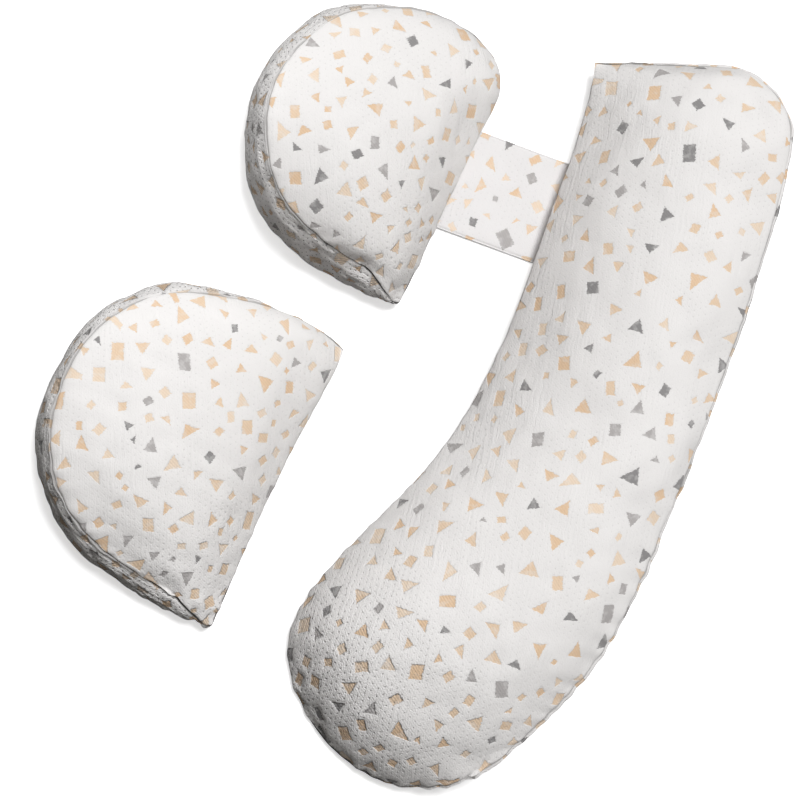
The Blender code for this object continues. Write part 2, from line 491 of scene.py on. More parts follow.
def shell_points(shell, face, gusset, back):
    """The three grids' places in the shell's numbering."""
    points = np.empty((max(shell.gusset.max(), shell.back.max()) + 1, face.shape[-1]))
    points[shell.gusset] = gusset
    points[shell.back] = back
    points[shell.face] = face
    return points


def shell_values(shell, grids):
    """Three grids of single values in the shell's numbering."""
    return shell_points(shell, *[grid[..., None] for grid in grids])[:, 0]


def point_normals(points, quads):
    """Unit normal at each point, from the faces round it, larger ones more."""
    a, b, c, d = (points[quads[:, k]] for k in range(4))
    spread = np.cross(c - a, d - b)
    normals = np.zeros_like(points)
    for k in range(4):
        for axis in range(3):
            normals[:, axis] += np.bincount(quads[:, k], spread[:, axis], len(points))
    return normals / np.maximum(np.linalg.norm(normals, axis=1)[:, None], 1e-12)


def mesh_of(name, points, shell):
    """The shell as a mesh: the quads first, then the few three-sided faces."""
    mesh = bpy.data.meshes.new(name)
    mesh.from_pydata(points, [], shell.quads.tolist() + shell.corners)
    mesh.update()
    mesh.shade_smooth()
    return mesh


def in_scene(name, data):
    """A new object that holds the data, in the scene."""
    thing = bpy.data.objects.new(name, data)
    bpy.context.scene.collection.objects.link(thing)
    return thing


# The filling's push: simulated cloth

# The pressure, the cloth's slack as a negative shrinkage, how often its moves
# are evened, how far inside the panels it starts and how far from a seam that
# is reached, and the most that a point may move. Points lower than HELD_HEIGHT
# and those on a seam are held.
PRESSURE = 4.0
SLACK = -0.02
EVENING = 10
SWELL = 2.2 * MM
SWELL_REACH = 16 * MM
MOST_MOVE = 9 * MM
HELD_HEIGHT = 0.6 * MM
FRAMES = 20


def seam_distance(grid):
    """Distance of each point of a face or a back from its nearest side, or of a
    gusset from its upper or lower seam."""
    return np.minimum.reduce(edge_distances(grid))


def evened(moves, quads):
    """Each point's move averaged with its neighbours' a few times over, because
    a stretch knit spreads a crease that a coarse cloth would keep."""
    here, there = quads.ravel(), np.roll(quads, 1, axis=1).ravel()
    count = np.bincount(here, minlength=len(moves)) + np.bincount(there, minlength=len(moves))
    for _ in range(EVENING):
        total = np.zeros_like(moves)
        for axis in range(3):
            total[:, axis] = np.bincount(here, moves[there, axis], len(moves))
            total[:, axis] += np.bincount(there, moves[here, axis], len(moves))
        moves = 0.5 * moves + 0.5 * total / count[:, None]
    return moves


def filled_out(name, grids, clockwise):
    """How the filling moves the panels: a coarse copy of the cushion, drawn in a
    little between its seams, as cloth slightly larger than that shape. Its seams
    and its resting underside hold it while a pressure swells it for 20 frames.
    Gives the three grids' moves, none over MOST_MOVE."""
    coarse = [g[::COARSE, ::COARSE] for g in grids]
    shell = shell_of(coarse[0].shape[:2], coarse[1].shape[:2], clockwise)
    points = shell_points(shell, *coarse)
    from_seam = shell_values(shell, [seam_distance(grid) for grid in coarse])
    inwards = (1.0 - np.exp(-from_seam / SWELL_REACH))[:, None]
    start = points - point_normals(points, shell.quads) * SWELL * inwards
    start[:, 2] = np.maximum(start[:, 2], 0.0)
    piece = in_scene(name, mesh_of(name, start, shell))
    held = piece.vertex_groups.new(name="held")
    fixed = (points[:, 2] < HELD_HEIGHT) | (from_seam == 0.0)
    held.add(np.nonzero(fixed)[0].tolist(), 1.0, "REPLACE")
    cloth = piece.modifiers.new("filling", "CLOTH")
    settings = cloth.settings
    settings.quality = 6
    settings.mass = 0.3
    settings.tension_stiffness = settings.compression_stiffness = 30.0
    settings.shear_stiffness = 12.0
    settings.bending_stiffness = 0.8
    settings.use_pressure = True
    settings.uniform_pressure_force = PRESSURE
    settings.effector_weights.gravity = 0.0
    settings.vertex_group_mass = "held"
    settings.shrink_min = SLACK
    cloth.collision_settings.use_collision = False
    cloth.point_cache.frame_start = 1
    cloth.point_cache.frame_end = FRAMES
    scene = bpy.context.scene
    for step in range(1, FRAMES + 1):
        scene.frame_set(step)
    evaluated = piece.evaluated_get(bpy.context.evaluated_depsgraph_get())
    blown = np.empty(len(points) * 3)
    evaluated.data.vertices.foreach_get("co", blown)
    moves = evened(blown.reshape(-1, 3) - points, shell.quads)
    bpy.data.objects.remove(piece)
    scene.frame_set(1)
    length = np.linalg.norm(moves, axis=1)[:, None]
    moves *= np.minimum(1.0, MOST_MOVE / np.maximum(length, 1e-9))
    return [refined(moves[numbering]) for numbering in (shell.face, shell.gusset, shell.back)]


# Seams and unevenness

# The lip's place beside its seam for a roll of one, and its half width in
# millimetres: the first value and the second times the roll.
LIP_PLACE = 1.3 * MM
LIP_HALF_WIDTH = (0.35, 0.5)
GROOVE = 1.4 * MM
GROOVE_REACH = 1.0 * MM
PUCKER = 1.0 * MM
PUCKER_LENGTH = 17 * MM
PUCKER_REACH = 13 * MM
DRAG = 0.6 * MM
DRAG_WIDTH = 7 * MM
DRAG_LENGTH = 9.0
LUMP, LUMP_LENGTH = 0.4 * MM, 70 * MM
FINE_LUMP, FINE_LUMP_LENGTH = 0.2 * MM, 26 * MM
SIDE_LUMP, SIDE_LUMP_LENGTH = 0.5 * MM, 40 * MM

# How much of the puckers and of the drags there is at the first cut, how far
# from a seam the filling's lumps begin, and how wide a gusset has them whole.
FIRST_GATHER = 0.25
FIRST_DRAG = 0.35
FLAT_SEAM = 20 * MM
FULL_GUSSET = 12 * MM

# How slack the thin edge is, and how far slackness reaches from it and a seam.
THIN_SLACK = 0.18
THIN_SLACK_REACH = 70 * MM
GUSSET_SLACK_REACH = 4 * MM


def relief(face, gusset, back, roll, seed):
    """Rise of each panel's surface in metres: a groove at the seams, a rolled
    lip beside them on the gusset, puckers that fade from the seams and grow
    towards the last cut, long drags along the gusset, and a gentle unevenness
    of the filling."""
    rises = []
    gathered = FIRST_GATHER + (1.0 - FIRST_GATHER) * np.linspace(0.0, 1.0, len(face))[:, None] ** 2
    for grid in (face, back):
        distances = edge_distances(grid)
        fade = [np.exp(-d / PUCKER_REACH) for d in distances]
        gather = [wander(e, PUCKER_LENGTH, seed + 1)[:, None] for e in edges_of(grid)]
        pucker = PUCKER * eased_into(gather, fade)[..., 0] * gathered
        nearest = np.minimum.reduce(distances)
        groove = -GROOVE * np.exp(-nearest / GROOVE_REACH)
        uneven = LUMP * wander(grid, LUMP_LENGTH, seed)
        uneven = uneven + FINE_LUMP * wander(grid, FINE_LUMP_LENGTH, seed + 2)
        rises.append(groove + pucker + uneven * (1.0 - np.exp(-nearest / FLAT_SEAM)))
    top, foot = edge_distances(gusset)[2:]
    half_lip = (LIP_HALF_WIDTH[0] + LIP_HALF_WIDTH[1] * roll) * MM
    beside_top, beside_foot = (bell((d - LIP_PLACE * roll) / half_lip) for d in (top, foot))
    lip = roll * MM * (beside_top + 0.5 * beside_foot)
    groove = -GROOVE * (np.exp(-top / GROOVE_REACH) + np.exp(-foot / GROOVE_REACH))
    later = np.linspace(0.0, 1.0, len(gusset))[:, None] ** 2
    gather = wander(gusset[:, :1], PUCKER_LENGTH, seed + 1) * (FIRST_GATHER + (1.0 - FIRST_GATHER) * later)
    pucker = PUCKER * gather * (np.exp(-top / PUCKER_REACH) + np.exp(-foot / PUCKER_REACH))
    run = gusset_flat(gusset)[..., 1]
    streaks = np.stack([top, run / DRAG_LENGTH, 0.0 * top], axis=-1)
    drag = DRAG * wander(streaks, DRAG_WIDTH, seed + 4) * (FIRST_DRAG + (1.0 - FIRST_DRAG) * later)
    uneven = SIDE_LUMP * wander(gusset, SIDE_LUMP_LENGTH, seed + 3)
    side = (lip + groove + pucker + drag + uneven) * np.clip((top + foot) / FULL_GUSSET, 0.0, 1.0)
    return rises[0], side, rises[1]


def slackness(face, gusset, back, reach, loose):
    """How slack the cover lies at each point of its panels, from 0 to 1: wholly
    on the gusset away from its face seam, a little along the thin edge, and as a
    bell over the distance from the last cut's thin end, where the face away from
    its seams has a share of that. Besides the relief, the material paints shade
    with it: darker pinholes, motif ribs and seam lines where it is high."""
    near = [bell(np.linalg.norm(grid - face[-1, 0], axis=-1) / reach) for grid in (face, gusset, back)]
    thin = THIN_SLACK * np.exp(-edge_distances(face)[2] / THIN_SLACK_REACH)
    on_face = near[0] * (loose + (1.0 - loose) * np.exp(-seam_distance(face) / GUSSET_SLACK_REACH))
    near_seam = bell(edge_distances(gusset)[2] / GUSSET_SLACK_REACH)
    return np.maximum(on_face, thin), 1.0 - (1.0 - near[1]) * near_seam, near[2]


# Fabric coordinates

RELAX_STEPS = 160
RELAX = 1.3


def cut_flat(grid):
    """Flat fabric coordinates of a panel: its plan, relaxed until each grid
    edge and diagonal has its real length, as the cut piece has."""
    coarse = grid[::COARSE, ::COARSE]
    flat = coarse[..., :2].copy()
    pairs = (
        ((slice(None), slice(None, -1)), (slice(None), slice(1, None))),
        ((slice(None, -1), slice(None)), (slice(1, None), slice(None))),
        ((slice(None, -1), slice(None, -1)), (slice(1, None), slice(1, None))),
        ((slice(None, -1), slice(1, None)), (slice(1, None), slice(None, -1))),
    )
    lengths = [np.linalg.norm(coarse[b] - coarse[a], axis=-1) for a, b in pairs]
    for _ in range(RELAX_STEPS):
        push = np.zeros_like(flat)
        count = np.zeros(flat.shape[:2])
        for (a, b), length in zip(pairs, lengths):
            apart = flat[b] - flat[a]
            now = np.linalg.norm(apart, axis=-1)
            change = (0.5 * (1.0 - length / np.maximum(now, 1e-9)))[..., None] * apart
            push[a] += change
            push[b] -= change
            count[a] += 1.0
            count[b] += 1.0
        flat += RELAX * push / count[..., None]
    return refined(flat)


def gusset_flat(gusset):
    """Flat fabric coordinates of a gusset, whose wales run along it: distance
    down it and along it."""
    middle = gusset[:, gusset.shape[1] // 2]
    run = np.concatenate([[0.0], np.cumsum(np.linalg.norm(np.diff(middle, axis=0), axis=1))])
    down = edge_distances(gusset)[2]
    return np.stack([down - 0.5 * down[:, -1:], np.broadcast_to(run[:, None], down.shape)], axis=-1)


# The confetti

Motifs = namedtuple("Motifs", "centre right up form tone radius")

# One row is a kind of motif: its share of them all, its radius, and between
# which values its half width at the foot and its half height lie, in
# millimetres. A tilted one's half height is a share of its half width.
Kind = namedtuple("Kind", "share radius foot half")

TRIANGLE, UPRIGHT, TILTED = 0, 1, 2
KINDS = (
    Kind(0.62, 7.4, (5.0, 7.2), (4.6, 6.2)),
    Kind(0.21, 8.0, (4.2, 5.4), (5.2, 7.4)),
    Kind(0.17, 5.8, (3.6, 4.8), (0.7, 1.05)),
)

# Between which values their sizes lie, how many are smaller and by how much, and
# between which values the room round each lies, in millimetres.
SIZES = (0.86, 1.36)
SMALL_SHARE, SMALL = 0.13, 0.62
ROOM = (2.8, 8.4)

# How many places are tried on a panel, and how many faces are taken at a time.
MOST_TRIES = 9000
BATCH = 4000

# A slanting side is this much nearer than it is straight across.
SLANT = 0.9

# How far round a motif the knit dips, how much of the dip a taut knit has, and
# how far from a seam it is whole.
DIP_REACH = 3.0
TAUT_DIP = 0.15
DIP_CLEAR = 6 * MM
OUTSIDE = 99.0


def scattered(centres, normals, areas, along, scale, rng):
    """Confetti scattered over one panel, none overlapping: places drawn by area
    and kept where they clear those before. Each has its own frame on the
    surface, half widths at foot and top, a half height and a lean, in metres."""
    tries = min(len(centres), MOST_TRIES)
    drawn = rng.choice(len(centres), size=tries, replace=False, p=areas / areas.sum())
    kinds = rng.choice([TRIANGLE, UPRIGHT, TILTED], size=tries, p=[k.share for k in KINDS])
    size = rng.uniform(*SIZES, tries) * np.where(rng.random(tries) < SMALL_SHARE, SMALL, 1.0) * scale * MM
    radius = np.choose(kinds, [k.radius for k in KINDS]) * size
    room = rng.uniform(*ROOM, tries) * scale * MM
    kept = []
    for k, place in enumerate(centres[drawn]):
        others = drawn[kept]
        gap = np.linalg.norm(centres[others] - place, axis=1) - radius[kept] - radius[k]
        if not kept or (gap > np.maximum(room[k], room[kept])).all():
            kept.append(k)
    kept = np.array(kept)
    kinds, size, radius, chosen = kinds[kept], size[kept], radius[kept], drawn[kept]
    count = len(kept)
    normal = normals[chosen]
    right = np.cross(along[chosen], normal)
    right /= np.linalg.norm(right, axis=1)[:, None]
    up = np.cross(normal, right)
    turns = (
        rng.uniform(0.0, 2.0 * np.pi, count),
        rng.normal(0.0, 0.05, count) + 0.5 * np.pi * (rng.random(count) < 0.2),
        rng.uniform(0.35, 1.1, count),
    )
    turn = np.choose(kinds, turns)
    c, s = np.cos(turn)[:, None], np.sin(turn)[:, None]
    right, up = right * c + up * s, up * c - right * s
    foot = np.choose(kinds, [rng.uniform(*k.foot, count) for k in KINDS])
    top = np.where(kinds == TRIANGLE, 0.0, foot)
    half = np.choose(kinds, [rng.uniform(*k.half, count) for k in KINDS])
    half = half * np.where(kinds == TILTED, foot, 1.0)
    slanted, squarish = rng.uniform(-0.9, 0.9, count), rng.uniform(-0.25, 0.25, count)
    lean = np.where(kinds == TRIANGLE, slanted, squarish) * foot
    form = np.stack([foot, top, half, lean], axis=1) * size[:, None]
    return Motifs(centres[chosen], right, up, form, rng.random(count), radius)


def nearest_motif(centres, motifs):
    """For each face the motif whose edge is nearest."""
    chosen = np.empty(len(centres), int)
    for start in range(0, len(centres), BATCH):
        part = centres[start : start + BATCH]
        gap = np.linalg.norm(part[:, None] - motifs.centre[None], axis=2) - motifs.radius
        chosen[start : start + BATCH] = gap.argmin(axis=1)
    return chosen


def printed(points, shell, seed, print_up, scale):
    """The confetti at each face corner: its place in the nearest motif's own
    frame with that motif's tone, the motif's form, and how far outside the motif
    the corner lies, all in millimetres. A motif is a trapezoid with the half
    widths of its foot and top and its half height, squared up by its lean."""
    rng = np.random.default_rng(seed)
    quads = shell.quads
    a, b, c, d = (points[quads[:, k]] for k in range(4))
    centres = (a + b + c + d) / 4.0
    spread = np.cross(c - a, d - b)
    areas = np.linalg.norm(spread, axis=1) / 2.0
    normals = spread / np.maximum(2.0 * areas, 1e-12)[:, None]
    place = np.empty((len(quads), 4, 3))
    form = np.empty((len(quads), 4, 3))
    for panel in np.unique(shell.panel):
        here = np.nonzero(shell.panel == panel)[0]
        up = (b - a)[here] if panel == GUSSET else np.broadcast_to(print_up, (len(here), 3))
        motifs = scattered(centres[here], normals[here], areas[here], up, scale, rng)
        mine = nearest_motif(centres[here], motifs)
        away = points[quads[here]] - motifs.centre[mine][:, None]
        x = np.einsum("qkx,qx->qk", away, motifs.right[mine])
        y = np.einsum("qkx,qx->qk", away, motifs.up[mine])
        foot, top, half, lean = (motifs.form[mine].T)[:, :, None]
        x = x - 0.5 * lean * y / half
        tone = np.broadcast_to(motifs.tone[mine][:, None], x.shape)
        place[here] = np.stack([x / MM, y / MM, tone], axis=-1)
        form[here] = motifs.form[mine][:, None, :3] / MM
    foot, top, half = np.moveaxis(form, 2, 0)
    past_side = np.abs(place[..., 0]) - foot - (top - foot) * (place[..., 1] + half) / (2.0 * half)
    outside = np.maximum(SLANT * past_side, np.abs(place[..., 1]) - half)
    return place, form, outside


def at_points(values, shell, count):
    """Values at face corners averaged to one value at each point."""
    here = shell.quads.ravel()
    return np.bincount(here, values.ravel(), count) / np.maximum(np.bincount(here, minlength=count), 1)


def lay_on_corners(mesh, name, values):
    """Puts a vector at each quad's corners into the mesh, and at the few
    three-sided faces a place that lies outside every motif."""
    filled = np.full((len(mesh.loops), 3), OUTSIDE)
    filled[: len(values) * 4] = values.reshape(-1, 3)
    layer = mesh.attributes.new(name, "FLOAT_VECTOR", "CORNER")
    layer.data.foreach_set("vector", filled.ravel().astype(np.float32))


def lay_fabric(mesh, shell, pieces):
    """The knit's own coordinates in metres as a UV map, from each panel's
    numbering and flat places. The three-sided faces belong to the gusset."""
    order = np.concatenate([shell.quads.ravel(), np.array(shell.corners, int).ravel()])
    panel = np.concatenate([np.repeat(shell.panel, 4), np.full(3 * len(shell.corners), GUSSET)])
    loops = np.zeros((len(order), 2))
    for kind, numbering, flat in pieces:
        table = np.zeros((order.max() + 1, 2))
        table[numbering] = flat
        here = np.nonzero(panel == kind)[0]
        loops[here] = table[order[here]]
    layer = mesh.uv_layers.new(name="knit")
    layer.data.foreach_set("uv", loops.ravel().astype(np.float32))


# Materials

def linear(code):
    """An sRGB hex colour as linear red, green, blue and alpha."""
    channels = [int(code[k : k + 2], 16) / 255.0 for k in (0, 2, 4)]
    return tuple(c / 12.92 if c <= 0.04045 else ((c + 0.055) / 1.055) ** 2.4 for c in channels) + (1.0,)


def give(node, inputs):
    """Gives a node's inputs their values or links."""
    for name, value in inputs.items():
        if isinstance(value, bpy.types.NodeSocket):
            node.id_data.links.new(value, node.inputs[name])
        else:
            node.inputs[name].default_value = value


def add(tree, kind, inputs, out=0, **settings):
    """Adds a node, sets its properties, gives its inputs values or links, and
    hands back one of its outputs."""
    made = tree.nodes.new("ShaderNode" + kind)
    for name, value in settings.items():
        setattr(made, name, value)
    give(made, inputs)
    return made.outputs[out]


GROUND = ("F5F3F2", "EDEBEA")
BAND_GROUND = ("F0EEEE", "E8E6E6")
PINHOLE = "5C5751"
# The colour of the shade painted into the grooves along the seams and along the band's row of stitches.
PAINTED_SEAM_SHADE = "2E2A26"

# How much of the relief stands where the knit is taut and where it is slack, and
# the share of it in a motif's depth, round the pinholes, in them, and so on.
LIT_RELIEF = 0.24 * MM
SLACK_RELIEF = 2.2 * MM
MOTIF_DEPTH = 0.9
DIMPLE, HOLE, WALE, STREAK, FUZZ, RIB = -0.3, -0.25, 0.10, 0.9, 0.7, 0.08

# Where each tone starts in the motifs' random share, and its colour.
TONES = ((0.0, "EFD5B9"), (0.31, "F3DFC9"), (0.58, "EDCEAD"), (0.82, "B9B5B4"), (0.91, "979595"))

# Millimetres of knit: how far apart the pinholes stand across and along the
# wales, in two staggered sets, the pitch of the wales and of the ribs inside a
# motif, and the size of one frayed stitch. The real wales are about 0.8 mm
# apart, too fine to show here, so they are drawn coarser.
PINHOLE_GAP = (11.6, 6.6)
WALE_PITCH = 2.2
RIB_PITCH = 1.7
FRINGE = (2.6, 0.9, 1.0)

# A wave texture's scale of this much, over a pitch, repeats once in that pitch.
WAVE = np.pi / 10.0

SMOOTH = {"interpolation_type": "SMOOTHSTEP"}
COLOUR = {"data_type": "RGBA"}
TIMES = {"operation": "MULTIPLY"}


def knit_material(name, ground_code, shade_code):
    """Air-layer polyester knit with a jacquard pattern: a matt, slightly fuzzy
    off-white with pinholes in staggered rows and faint wales, in which tan and
    grey ribbed confetti lies a little deeper, its sides frayed row by row. Shade
    is painted into its colour along the seams, and into the pinholes and ribs
    where the knit is slack."""
    material = bpy.data.materials.new(name)
    material.use_nodes = True
    tree = material.node_tree
    uv = add(tree, "UVMap", {}, uv_map="knit")
    in_mm = add(tree, "VectorMath", {0: uv, 1: (1000.0, 1000.0, 1000.0)}, **TIMES)
    slack = add(tree, "Attribute", {}, "Fac", attribute_name="slack")
    gap = add(tree, "Attribute", {}, "Fac", attribute_name="seam_gap")
    place = add(tree, "Attribute", {}, "Vector", attribute_name="motif_place")
    form = add(tree, "Attribute", {}, "Vector", attribute_name="motif_form")

    # The motif that lies here, with its sides frayed by rows of stitches.
    row = add(tree, "VectorMath", {0: in_mm, 1: FRINGE}, operation="SNAP")
    fray = add(tree, "TexWhiteNoise", {"Vector": row}, "Value", noise_dimensions="2D")
    fringe = add(tree, "Math", {0: fray, 1: 1.1, 2: -0.6}, operation="MULTIPLY_ADD")
    across, along, share = add(tree, "SeparateXYZ", {0: place}).node.outputs
    foot, top, half = add(tree, "SeparateXYZ", {0: form}).node.outputs
    below = add(tree, "Math", {0: half, 1: -1.0}, **TIMES)
    taper = {"Value": along, "From Min": below, "From Max": half, "To Min": foot, "To Max": top}
    half_width = add(tree, "MapRange", taper, clamp=False)
    side = add(tree, "Math", {0: across}, operation="ABSOLUTE")
    rise = add(tree, "Math", {0: along}, operation="ABSOLUTE")
    past_end = add(tree, "Math", {0: rise, 1: half}, operation="SUBTRACT")
    past_side = add(tree, "Math", {0: side, 1: half_width}, operation="SUBTRACT")
    slant = add(tree, "Math", {0: past_side, 1: SLANT}, **TIMES)
    clean = add(tree, "Math", {0: past_end, 1: slant}, operation="MAXIMUM")
    frayed = add(tree, "Math", {0: clean, 1: fringe}, operation="ADD")
    inside = add(tree, "MapRange", {"Value": frayed, "From Min": 0.35, "From Max": -0.35}, **SMOOTH)
    sunk = add(tree, "MapRange", {"Value": frayed, "From Min": 1.0, "From Max": -0.6}, **SMOOTH)

    # Pinholes: the nearer of two sets of rows, each wrapped to its own cell.
    drift = add(tree, "TexNoise", {"Vector": in_mm, "Scale": 0.09, "Detail": 1.0}, "Color")
    moved = add(tree, "VectorMath", {0: drift, 1: (5.0, 5.0, 0.0), 2: in_mm}, operation="MULTIPLY_ADD")
    half_gap = (PINHOLE_GAP[0] / 2.0, PINHOLE_GAP[1] / 2.0, 1.0)
    other_half = tuple(-h for h in half_gap)
    shifted = add(tree, "VectorMath", {0: moved, 1: (*half_gap[:2], 0.0)}, operation="ADD")
    reach = []
    for row_set in (moved, shifted):
        cell = add(tree, "VectorMath", {0: row_set, 1: half_gap, 2: other_half}, operation="WRAP")
        reach.append(add(tree, "VectorMath", {0: cell}, "Value", operation="LENGTH"))
    from_hole = add(tree, "Math", {0: reach[0], 1: reach[1]}, operation="MINIMUM")
    hole = add(tree, "MapRange", {"Value": from_hole, "From Min": 0.9, "From Max": 0.3}, **SMOOTH)
    dimple = add(tree, "MapRange", {"Value": from_hole, "From Min": 2.2, "From Max": 0.2}, **SMOOTH)

    # Colours: ground, pinholes where the knit is open, motif, and painted shade in the seams' grooves,
    # darker and wider where the knit is slack.
    cloud = add(tree, "TexNoise", {"Vector": in_mm, "Scale": 0.02, "Detail": 3.0}, "Fac")
    ground = add(tree, "Mix", {0: cloud, 6: linear(ground_code), 7: linear(shade_code)}, 2, **COLOUR)
    # The pinholes are the knit's own; where the knit is slack they are painted darker and more of them
    # show, which is painted shade.
    least = add(tree, "MapRange", {"Value": slack, "To Min": 0.05, "To Max": 0.9})
    patchy = add(tree, "MapRange", {"Value": cloud, "From Min": 0.4, "From Max": 0.62, "To Min": least})
    openness_and_shade = add(tree, "MapRange", {"Value": slack, "From Min": 0.15, "To Min": 0.15, "To Max": 0.95})
    patchy_hole = add(tree, "Math", {0: hole, 1: patchy}, **TIMES)
    open_hole = add(tree, "Math", {0: patchy_hole, 1: openness_and_shade}, **TIMES)
    pierced = add(tree, "Mix", {0: open_hole, 6: ground, 7: linear(PINHOLE)}, 2, **COLOUR)
    tone = add(tree, "ValToRGB", {0: share}, "Color")
    ramp = tone.node.color_ramp
    ramp.interpolation = "CONSTANT"
    for k, (start, code) in enumerate(TONES):
        stop = ramp.elements[k] if k < 2 else ramp.elements.new(start)
        stop.position = start
        stop.color = linear(code)
    ribbing = {"Vector": in_mm, "Scale": WAVE / RIB_PITCH, "Distortion": 1.5, "Detail Scale": 0.6}
    ribs = add(tree, "TexWave", ribbing, "Fac", bands_direction="DIAGONAL")
    # The ribs inside a motif are the print's own; where the knit is slack they are painted much darker, as
    # painted shade.
    rib_painted_shade = add(tree, "MapRange", {"Value": slack, "To Min": 0.95, "To Max": 0.5})
    rib_shade = add(tree, "MapRange", {"Value": ribs, "To Min": rib_painted_shade})
    ribbed = add(tree, "Mix", {0: 1.0, 6: tone, 7: rib_shade}, 2, blend_type="MULTIPLY", **COLOUR)
    worn = add(tree, "TexNoise", {"Vector": in_mm, "Scale": 0.13, "Detail": 2.0}, "Fac")
    strength = add(tree, "MapRange", {"Value": worn, "From Min": 0.36, "From Max": 0.5, "To Min": 0.72})
    cover = add(tree, "Math", {0: inside, 1: strength}, **TIMES)
    coloured = add(tree, "Mix", {0: cover, 6: pierced, 7: ribbed}, 2, **COLOUR)
    # Painted shade along each seam: a dark line, darker and wider where the knit is slack.
    seam_shade_darkness = add(tree, "MapRange", {"Value": slack, "To Min": 0.5})
    seam_shade_width = add(tree, "MapRange", {"Value": slack, "To Min": 1.3, "To Max": 2.6})
    seam_shade_falloff = {"Value": gap, "From Min": seam_shade_width, "From Max": 0.2, "To Max": seam_shade_darkness}
    seam_shade_mask = add(tree, "MapRange", seam_shade_falloff, **SMOOTH)
    sewn = add(tree, "Mix", {0: seam_shade_mask, 6: coloured, 7: linear(PAINTED_SEAM_SHADE)}, 2, **COLOUR)

    # Relief: motif, dimples round the pinholes, wales, long streaks and fuzz.
    stretched = add(tree, "VectorMath", {0: moved, 1: (1.0, 0.06, 1.0)}, **TIMES)
    streak = add(tree, "TexNoise", {"Vector": stretched, "Scale": 0.4, "Detail": 3.0}, "Fac")
    ruffle = add(tree, "TexNoise", {"Vector": in_mm, "Scale": 0.016, "Detail": 1.0}, "Fac")
    most = add(tree, "MapRange", {"Value": slack, "From Max": 0.35, "To Min": 3.0, "To Max": 0.7})
    patches = {"Value": ruffle, "From Min": 0.45, "From Max": 0.62, "To Min": 0.7, "To Max": most}
    ruffled = add(tree, "MapRange", patches)
    streaks = add(tree, "Math", {0: streak, 1: ruffled}, **TIMES)
    columns = {"Vector": moved, "Scale": WAVE / WALE_PITCH, "Distortion": 2.0, "Detail": 2.0}
    wales = add(tree, "TexWave", {**columns, "Detail Scale": 0.25}, "Fac", bands_direction="X")
    fuzz = add(tree, "TexNoise", {"Vector": in_mm, "Scale": 0.75, "Detail": 4.0}, "Fac")
    dimples = add(tree, "Math", {0: dimple, 1: patchy}, **TIMES)
    height = add(tree, "Math", {0: sunk, 1: -MOTIF_DEPTH}, **TIMES)
    parts = ((dimples, DIMPLE), (hole, HOLE), (wales, WALE), (streaks, STREAK), (fuzz, FUZZ), (ribs, RIB))
    for part, amount in parts:
        height = add(tree, "Math", {0: part, 1: amount, 2: height}, operation="MULTIPLY_ADD")
    depth = add(tree, "MapRange", {"Value": slack, "To Min": LIT_RELIEF, "To Max": SLACK_RELIEF})
    bump = add(tree, "Bump", {"Height": height, "Strength": 1.0, "Distance": depth})
    finish = {"Roughness": 0.92, "Sheen Weight": 0.15, "Sheen Roughness": 0.5, "Specular IOR Level": 0.25}
    give(tree.nodes["Principled BSDF"], {**finish, "Base Color": sewn, "Normal": bump})
    return material


# The pieces

PRINT_UP = np.array([0.0, 1.0, 0.0])

# One row is a cushion: its node, cuts and make, how finely it is sampled, how
# far its wales turn from the picture's upright in radians, how deep its confetti
# sinks in millimetres where the cover is slack, its seed, how large its confetti
# is, and how tightly it is filled.
Cushion = namedtuple("Cushion", "node cuts make grid lie dip seed scale fill")

CUSHIONS = (
    Cushion("long_cushion", LONG_CUTS, LONG_MAKE, LONG_GRID, 0.22, 1.1, 11, 1.08, 0.85),
    Cushion("joined_wedge", JOINED_CUTS, JOINED_MAKE, WEDGE_GRID, 0.0, 0.9, 23, 1.0, 0.85),
    Cushion("loose_wedge", LOOSE_CUTS, LOOSE_MAKE, WEDGE_GRID, 0.0, 0.9, 37, 1.0, 0.8),
)


def cushion(row, material):
    """One filled cushion: its panels, moved by the filling, with seams, fabric
    coordinates and confetti. The underside stays on the surface."""
    name, make = row.node + "_cover", row.make
    clockwise = runs_clockwise(widest_plan(row.cuts, make))
    grids = panels(row.cuts, make, row.grid)
    shell = shell_of(grids[0].shape[:2], grids[1].shape[:2], clockwise)
    turn = np.array([[np.cos(row.lie), np.sin(row.lie)], [-np.sin(row.lie), np.cos(row.lie)]])
    flats = (
        (FACE, shell.face, cut_flat(grids[0]) @ turn),
        (GUSSET, shell.gusset, gusset_flat(grids[1])),
        (BACK, shell.back, cut_flat(grids[2]) @ turn),
    )
    moves = filled_out(name + "_filling", grids, clockwise)
    grids = [g + m for g, m in zip(grids, moves)]
    rise = shell_values(shell, relief(*grids, make.roll, row.seed))
    points = shell_points(shell, *grids)
    points = points + point_normals(points, shell.quads) * rise[:, None]
    points[:, 2] = np.maximum(points[:, 2], 0.0)
    gap = shell_values(shell, [seam_distance(grid) for grid in grids])
    slack = shell_values(shell, slackness(*grids, make.slack * MM, make.loose))
    print_as = (row.dip * MM, row.seed, PRINT_UP, row.scale)
    piece = finished(name, row.node, points, shell, flats, gap, slack, *print_as, material)


